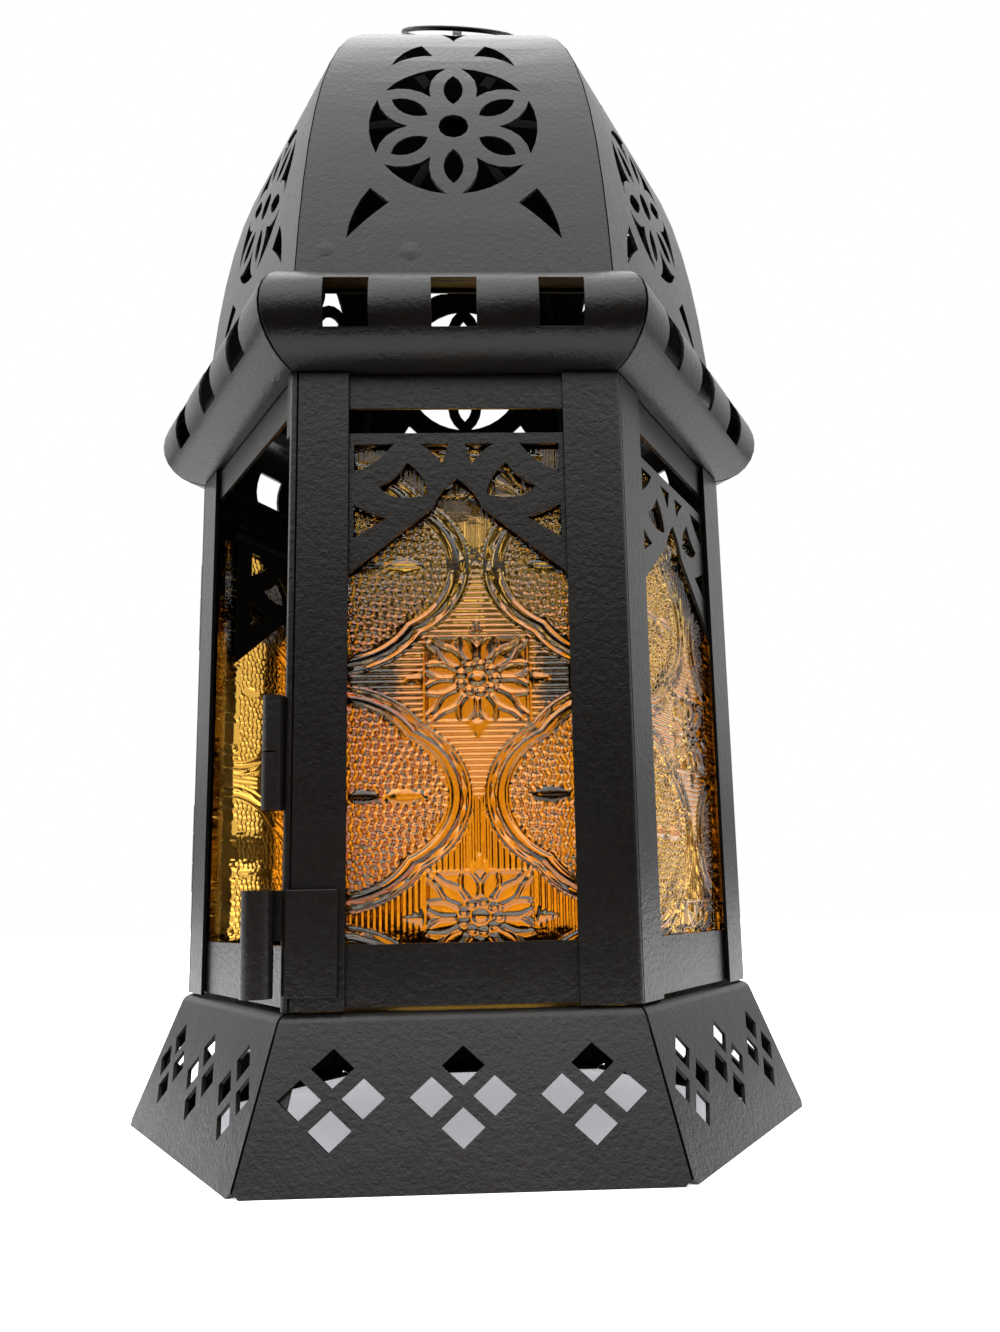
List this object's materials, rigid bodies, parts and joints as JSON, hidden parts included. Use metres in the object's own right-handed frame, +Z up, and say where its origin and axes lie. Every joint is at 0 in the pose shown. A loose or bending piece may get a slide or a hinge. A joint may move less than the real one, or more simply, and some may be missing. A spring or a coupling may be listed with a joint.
{
  "type": "candle lantern",
  "caption": "Six-sided sheet-metal candle lantern with amber glass panes, ogee fretwork, a pierced dome, a hinged door folded back and a carry ring.",
  "frame": {"origin": "middle of the base on the surface the lantern stands on", "axes": "+Z up, +X to the right of the front face, -Y out of the front face"},
  "size_m": [0.1534, 0.1338, 0.2839],
  "materials": {
    "coated_steel": "satin black powder coat with a fine pebble",
    "amber_glass": "pressed amber glass with a raised pattern on the inside",
    "coated_wire": "satin black coated wire"
  },
  "bodies": {
    "lantern": {"base_panel_front": "coated_steel", "base_panel_right_front": "coated_steel", "base_panel_right_back": "coated_steel", "base_panel_back": "coated_steel", "base_panel_left_back": "coated_steel", "base_panel_left_front": "coated_steel", "candle_floor": "coated_steel", "post_front_right": "coated_steel", "post_right": "coated_steel", "post_back_right": "coated_steel", "post_back_left": "coated_steel", "post_left": "coated_steel", "post_front_left": "coated_steel", "bottom_rail_front": "coated_steel", "top_rail_front": "coated_steel", "bottom_rail_right_front": "coated_steel", "top_rail_right_front": "coated_steel", "bottom_rail_right_back": "coated_steel", "top_rail_right_back": "coated_steel", "bottom_rail_back": "coated_steel", "top_rail_back": "coated_steel", "bottom_rail_left_back": "coated_steel", "top_rail_left_back": "coated_steel", "bottom_rail_left_front": "coated_steel", "top_rail_left_front": "coated_steel", "fretwork_front": "coated_steel", "fretwork_right_front": "coated_steel", "fretwork_right_back": "coated_steel", "fretwork_back": "coated_steel", "fretwork_left_back": "coated_steel", "cornice_front": "coated_steel", "cornice_right_front": "coated_steel", "cornice_right_back": "coated_steel", "cornice_back": "coated_steel", "cornice_left_back": "coated_steel", "cornice_left_front": "coated_steel", "dome_gore_front": "coated_steel", "dome_gore_right_front": "coated_steel", "dome_gore_right_back": "coated_steel", "dome_gore_back": "coated_steel", "dome_gore_left_back": "coated_steel", "dome_gore_left_front": "coated_steel", "finial": "coated_steel", "ring_eye": "coated_steel", "hinge_bracket_lower": "coated_steel", "hinge_bracket_upper": "coated_steel", "keeper_roll": "coated_steel", "catch_roll": "coated_steel", "catch_plate": "coated_steel", "glass_front": "amber_glass", "glass_right_front": "amber_glass", "glass_right_back": "amber_glass", "glass_back": "amber_glass", "glass_left_back": "amber_glass", "hinge_pin": "coated_wire"},
    "door": {"door_frame": "coated_steel", "door_fretwork": "coated_steel", "door_glass": "amber_glass"},
    "ring": {"carry_ring": "coated_wire"}
  },
  "joints": [
    {"name": "door_hinge", "type": "hinge", "parent": "lantern", "child": "door", "pos_m": [-0.06595, 0.00748, 0.0925], "axis": [0, 0, 1], "range_deg": [0, 240]},
    {"name": "ring_pivot", "type": "hinge", "parent": "lantern", "child": "ring", "pos_m": [0, 0, 0.2813], "axis": [-0.9976, -0.0698, 0], "range_deg": [-10, 265]}
  ]
}
